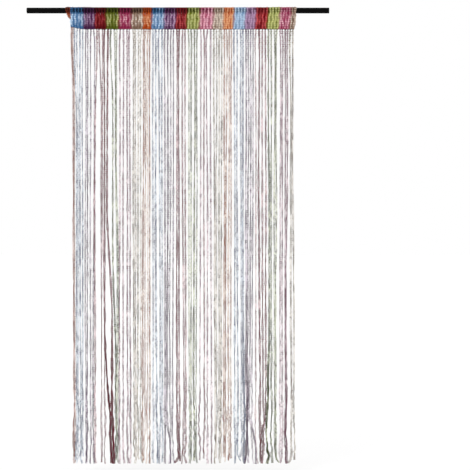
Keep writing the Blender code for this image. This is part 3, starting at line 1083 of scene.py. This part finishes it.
def knit_fullness(side, down):
    """0 where the net is stretched open over the pole, 1 where it hangs slack or is dense."""
    return np.maximum(smooth(*UNDER_POLE, down), smooth(-0.15, 0.40, side))


def rib_paleness_and_sheen(side, down):
    """The band's paleness * (0.4 to 0.75 over the pole, 1.25 half way down, less the fading).

    The paleness is partly the yarn's own and partly a painted sheen. The fading begins about the
    rib's own height. It is 1 at the left and 0.4 at the right.
    """
    over = 0.4 + 0.35 * smooth(-0.15, 0.40, side)
    fading = (1.0 - 0.6 * smooth(-0.30, 0.15, side)) * smooth(-0.2, 0.12, down - rib_fades)
    return rib_pale * (over + (1.25 - over) * smooth(0.14, 0.4, down) - fading)


def depth_of_dye(side, down):
    """1 where the dye is full, and less where it is deep: 1 - 0.8 over the pole - 0.5 at the hem.

    The first counts by 0.85 at the left and 0.30 at the right, the second by 1 and 0.45.
    """
    over = (1.0 - smooth(*UNDER_POLE, down)) * (0.85 - 0.55 * smooth(-0.30, 0.25, side))
    hem = smooth(0.72, 0.95, down) * (1.0 - 0.55 * smooth(-0.30, 0.15, side))
    return 1.0 - 0.8 * over - 0.5 * hem


full = knit_fullness(rib_centres[:, :, 0], rib_down)
slack = smooth(*UNDER_POLE, rib_down)
rib_reach = rib_share * (RIB_REACH + RIB_SPREAD * full) * draw.uniform(0.85, 1.15, full.shape)
rib_radius = rib_share ** 0.5 * (RIB_RADIUS + RIB_SWELL * slack)
rib_along = directions(rib_centres)
rib_across = squared(np.broadcast_to((-1.0, 0.0, 0.0), rib_centres.shape), rib_along)
print("rib width", round(2000 * float((rib_reach + rib_radius).mean()), 1), "mm on average")

# %% [markdown]
# ## Knit the ribs
#
# The ribs take the chain of the strings, only flatter, and all eight dyes go into one piece. The
# scraps in the eyes are yarn here, a little paler than the chain round them: a painted glint in
# place of the foil's shine. Evenly dyed ribs would look printed. So each rib has its own level,
# which swells and sinks along it, and every ring is a little paler or darker than the next.

# %% Knit the ribs
RIB_DEPTH = 0.0005
RIB_FOIL = (0.0024, 0.0006, 0.0036)
RIB_LEVELS = (0.45, 1.55)
RIB_SWINGS = (3.0, 9.0)
RIB_FLECK = (1.3, 0.2)
each_rib = (len(rib_tops), 1)
tube = chain_yarns(rib_centres, rib_along, rib_across, rib_reach, RIB_DEPTH, rib_radius)
turns = draw.uniform(*RIB_SWINGS, each_rib)
phase = draw.uniform(0.0, 1.0, each_rib)
own = draw.uniform(*RIB_LEVELS, each_rib) + 0.3 * np.sin(2.0 * np.pi * (turns * rib_way + phase))
own = own * (1.0 + 0.2 * draw.normal(size=rib_down.shape))
# Painted sheen: the rib tone rises towards the pale shade with the band's paleness.
rib_tone = FULL_AT + (1.0 - FULL_AT) * rib_paleness_and_sheen(rib_centres[:, :, 0], rib_down) * own
rib_tone = np.clip(rib_tone * depth_of_dye(rib_centres[:, :, 0], rib_down), 0.0, 1.0)
rib_yarns = yarn_shape(tube, np.tile(rib_dyes, 2)[:, None], np.concatenate([rib_tone, rib_tone])[:, :, None])
# The scraps are paler still: a painted glint in place of the foil's shine.
fleck = np.clip(rib_tone[:, 2::3] * draw.normal(*RIB_FLECK, rib_tone[:, 2::3].shape), 0.0, 1.0)
foils = chain_foils(rib_centres, rib_along, rib_across, RIB_FOIL, draw)
rib_foils = foil_shape(foils, rib_dyes, fleck)
rib_finishes = [yarn_finish(c + " rib yarn", HEADER_DYES_AND_SHEEN[c], 300.0, 2600.0, 0.08) for c in COLOURS]
header_ribs = make_piece("header_ribs", [rib_yarns, rib_foils], rib_finishes)

# %% [markdown]
# ## The net between the ribs
#
# Flat threads zigzag from rib to rib and back, and that is what makes one cloth of eighty
# chains. Two of them run mirror-wise in every gap. A zigzag is a tube as well. Its rings lie
# level, at the turning points, and are made wider by one over the sine of the thread's slope, so
# that the thread itself keeps its breadth in between. Over the pole the threads are drawn out
# thin. Below it they lie broad and close, and no light comes through.


# %% The net between the ribs
def lacing(first, second, start, broad, thick):
    """Zigzag tubes between two families of ribs, beginning at the first or at the second."""
    here = (np.arange(first.shape[1]) + start) % 2
    centres = np.where(here[None, :, None] == 0, first, second)
    along = directions((first + second) / 2.0)
    across = squared(np.broadcast_to((-1.0, 0.0, 0.0), along.shape), along)
    gap = np.linalg.norm(first - second, axis=-1)
    row = np.linalg.norm(np.gradient((first + second) / 2.0, axis=1), axis=-1)
    slope = row / np.sqrt(gap ** 2 + row ** 2)
    return tubes(centres, along, across, broad / slope, thick)


NET_ROWS = 58
NET_OUT = 0.0008
NET_THREAD = 0.00036
NET_FULLER = 0.0003
NET_SLACKER = 0.00060
NET_THICK = 0.00045
GROUND_SHARE = 0.25
net_way = np.linspace(0.0, 1.0, NET_ROWS + 1)[None, :]
net_centres, net_down = rib_lines(rib_tops[:, None], net_way, NET_OUT)
net_full = knit_fullness(net_centres[:, :, 0], net_down)[:-1]
net_broad = NET_THREAD + NET_FULLER * net_full + NET_SLACKER * smooth(0.07, 0.16, net_down[:-1])
# The net takes a share of the band's paleness, and with it a little of the ribs' painted sheen.
net_tone = 0.75 * FULL_AT + GROUND_SHARE * np.maximum(rib_pale[:-1] - 0.45, 0.0)
net_tone = net_tone * depth_of_dye(net_centres[:-1, :, 0], net_down[:-1])
net_shapes = []
for start, dyes in ((0, rib_dyes[1:]), (1, rib_dyes[:-1])):
    tube = lacing(net_centres[:-1], net_centres[1:], start, net_broad, NET_THICK)
    tone = np.clip(net_tone * draw.normal(1.0, 0.25, net_tone.shape), 0.0, 1.0)
    net_shapes.append(yarn_shape(tube, dyes[:, None], tone[:, :, None]))
print("net of", 2 * (len(rib_tops) - 1), "zigzag threads")

# %% [markdown]
# ## The hem
#
# Along the foot, where the sleeve is closed, a few threads are woven in crosswise, before one
# rib and behind the next. They hold the two layers together and stop the strings from being
# pulled out. Each takes the dye of the band that it crosses, and its paleness is some of the
# band's own. The ribs go on for three millimetres below the lowest thread.

# %% The hem
HEM_ROWS = 5
HEM_PITCH = 0.0019
HEM_ABOVE = 0.0030
HEM_OUT = 0.0014
HEM_WEAVE = 0.0018
HEM_THREAD = (0.00095, 0.0008)
HEM_DEEPEST = 0.10
HEM_SHARE = 0.36
HEM_PALEST = 0.60
HEM_LEVELS = (0.4, 1.5)
hem_side = np.interp(np.arange(4 * len(tops) + 1) / 4.0 - 0.5, np.arange(len(tops)), tops)
hem_side[0] = HEADER_LEFT
hem_side[-1] = HEADER_LEFT + HEADER_WIDTH
hem_x = leaned(hem_side)
weave = np.cos(np.pi * (np.arange(len(hem_x)) / 4.0 - 0.5))
rows = np.arange(2 * HEM_ROWS)
hem_height = (hem_foot(hem_side) + HEM_ABOVE)[None, :] + HEM_PITCH * (rows // 2)[:, None]
hem_aft = np.where(rows % 2, 1.0, -1.0)[:, None] * (HEM_OUT + HEM_WEAVE * np.abs(weave))[None, :]
hem = np.stack([np.broadcast_to(hem_x, hem_height.shape), hem_aft, hem_height], axis=-1)
hem_along = directions(hem)
hem_across = squared(np.broadcast_to((0.0, 0.0, 1.0), hem.shape), hem_along)
hem_dyes = np.array(band_dyes)[np.arange(len(hem_x) - 1) // 4]
# The hem threads take some of the band's paleness, and with it a little of the ribs' painted sheen.
hem_tone = np.interp(hem_side, tops, HEM_DEEPEST + HEM_SHARE * rib_pale[FLAP_RIBS + 1 : -1, 0])
hem_levels = draw.uniform(*HEM_LEVELS, (len(rows), len(hem_x), 1))
hem_tone = np.minimum(hem_tone, HEM_PALEST)[None, :, None] * hem_levels
net_shapes.append(yarn_shape(tubes(hem, hem_along, hem_across, *HEM_THREAD), hem_dyes, hem_tone))
ground_finishes = [yarn_finish(c + " ground thread", HEADER_DYES_AND_SHEEN[c], 300.0, 2600.0, 0.05) for c in COLOURS]
header_net = make_piece("header_net", net_shapes, ground_finishes)

# %% [markdown]
# ## Seat the sleeve
#
# Ribs and net together take the place of the CAD's plain sleeve, which is hidden, and both are
# attached to the curtain's root. The net is the cloth of the curtain: cut open and laid flat it
# is as wide as its bands with the flap, and as long as the way round.

# %% Seat the sleeve
for piece in (header_ribs, header_net):
    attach(piece, "root")
    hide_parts("header")

# %% [markdown]
# ## The pole
#
# The pole is a steel tube with satin black paint. Satin paint has a faint grain from the spray,
# and handling rubs it a little smoother in patches. The pole keeps its CAD solid, and only the
# finish is new.


# %% The pole
def pole_finish():
    """Black paint: fine noise for the grain, a coarse one that varies the shine."""
    made, shader = new_finish("satin black paint")
    tree = made.node_tree
    shader.inputs["Specular IOR Level"].default_value = 0.03
    bumps(tree, shader, noise(tree, 1400.0), 0.15, 0.0002)
    patch = noise(tree, 18.0, 4.0)
    uneven_shine(tree, shader, patch, 0.34, 0.55)
    colour = tree.nodes.new("ShaderNodeMix")
    colour.data_type = "RGBA"
    colour.inputs["A"].default_value = (0.0011, 0.0011, 0.0012, 1.0)
    colour.inputs["B"].default_value = (0.0028, 0.0027, 0.0026, 1.0)
    link_nodes(tree, [(patch, "Fac", colour, "Factor"), (colour, "Result", shader, "Base Color")])
    return made


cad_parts["rod"].data.materials.clear()
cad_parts["rod"].data.materials.append(pole_finish())
print("pole painted")
